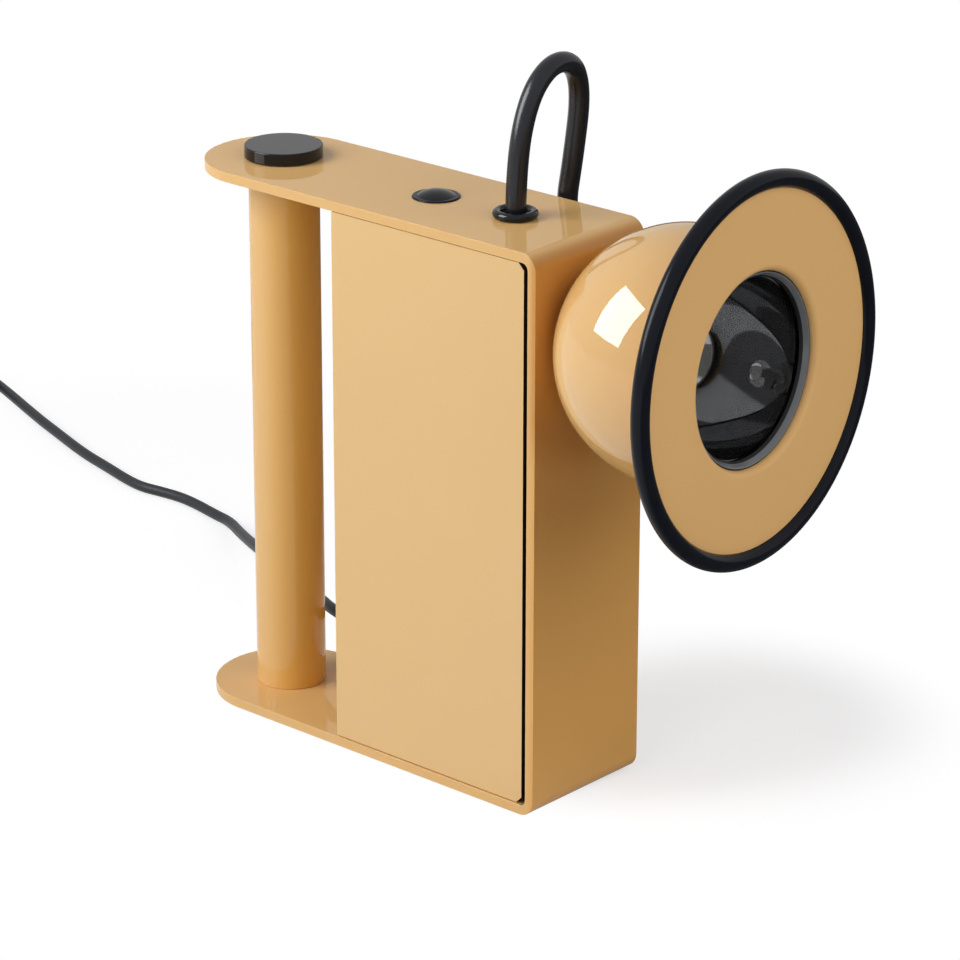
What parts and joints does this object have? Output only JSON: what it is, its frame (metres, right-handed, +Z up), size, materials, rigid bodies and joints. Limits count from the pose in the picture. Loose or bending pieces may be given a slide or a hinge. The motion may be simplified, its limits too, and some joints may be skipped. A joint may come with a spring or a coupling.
{
  "type": "tabletop searchlight lamp",
  "caption": "Portable table lamp: bent plate frame with tube handle and box housing, ball head with broad rubber-edged disc held on a magnet seat, looped lead, dimmer knob and push switch.",
  "frame": {"origin": "on the table, under the middle of the bent plate frame's footprint", "axes": "+X from the handle towards the beam, +Y to the left when looking along the beam, +Z up"},
  "size_m": [0.78, 0.2675, 0.303],
  "materials": {
    "mustard_lacquer": "glossy smooth lacquer",
    "black_gloss": "glossy black",
    "black_satin": "satin black",
    "black_rubber": "satin black rubber",
    "cord_grey": "dark grey cord sheath",
    "zinc_steel": "zinc plated",
    "nickel": "bright nickel",
    "grey_bezel": "glossy dark grey",
    "clear_glass": "clear polished",
    "bulb_glass": "clear capsule",
    "smoked_mirror": "dark polished",
    "ceramic": "white ceramic",
    "core_iron": "varnished laminations",
    "winding": "taped coil",
    "board_green": "printed board",
    "pad_foam": "soft matte pad"
  },
  "bodies": {
    "base": {"frame_plate": "mustard_lacquer", "base_pad": "pad_foam", "handle_tube": "mustard_lacquer", "handle_plug": "zinc_steel", "handle_screw": "zinc_steel", "dimmer_cap": "zinc_steel", "dimmer_pot": "zinc_steel", "dimmer_nut": "nickel", "switch_case": "black_satin", "switch_nut": "black_satin", "button_spring": "zinc_steel", "housing_shell": "mustard_lacquer", "rear_cover": "mustard_lacquer", "cover_screws": "nickel", "base_screws": "zinc_steel", "base_nuts": "zinc_steel", "transformer_core": "core_iron", "transformer_winding": "winding", "transformer_strap": "zinc_steel", "dimmer_board": "board_green", "board_posts": "nickel", "terminal_block": "ceramic", "seat_ring": "black_satin", "magnet_cup": "black_satin", "magnet": "nickel", "magnet_screws": "zinc_steel", "top_grommet": "black_satin", "grommet_nut": "black_satin", "loop_lead": "black_rubber", "mains_relief": "black_satin", "relief_nut": "black_satin", "mains_cord": "cord_grey", "cord_coil": "cord_grey", "cord_tie": "black_satin", "plug_tail": "cord_grey", "mains_plug": "black_satin", "plug_pins": "nickel"},
    "knob": {"dimmer_knob": "black_gloss", "knob_shaft": "zinc_steel"},
    "button": {"push_button": "black_gloss"},
    "gland": {"head_gland": "black_satin", "gland_nut": "black_satin"},
    "head": {"ball_shell": "mustard_lacquer", "flange_disc": "mustard_lacquer", "edge_ring": "black_rubber", "lens_bezel": "grey_bezel", "lens_glass": "clear_glass", "lens_seat": "black_satin", "reflector_bowl": "smoked_mirror", "lamp_holder": "ceramic", "bulb": "bulb_glass", "bulb_pins": "nickel", "holder_screws": "nickel"}
  },
  "joints": [
    {"name": "knob_turn", "type": "hinge", "parent": "base", "child": "knob", "pos_m": [-0.0675, 0, 0.2413], "axis": [0, 0, 1], "range_deg": [-270, 0]},
    {"name": "button_press", "type": "slide", "parent": "base", "child": "button", "axis": [0, 0, -1], "range_m": [0, 0.002], "stiffness_N_per_m": 400, "springref_m": -0.003, "deforming": ["button_spring"]},
    {"name": "head_pan", "type": "hinge", "parent": "base", "child": "gland", "pos_m": [0.14947, 0, 0.2034], "axis": [0, 0, 1], "range_deg": [-43.2, 36.8], "deforming": ["loop_lead"]},
    {"name": "head_tilt", "type": "hinge", "parent": "gland", "child": "head", "pos_m": [0.14947, 0, 0.2034], "axis": [0.0558, -0.9984, 0], "range_deg": [-36, 59]}
  ]
}
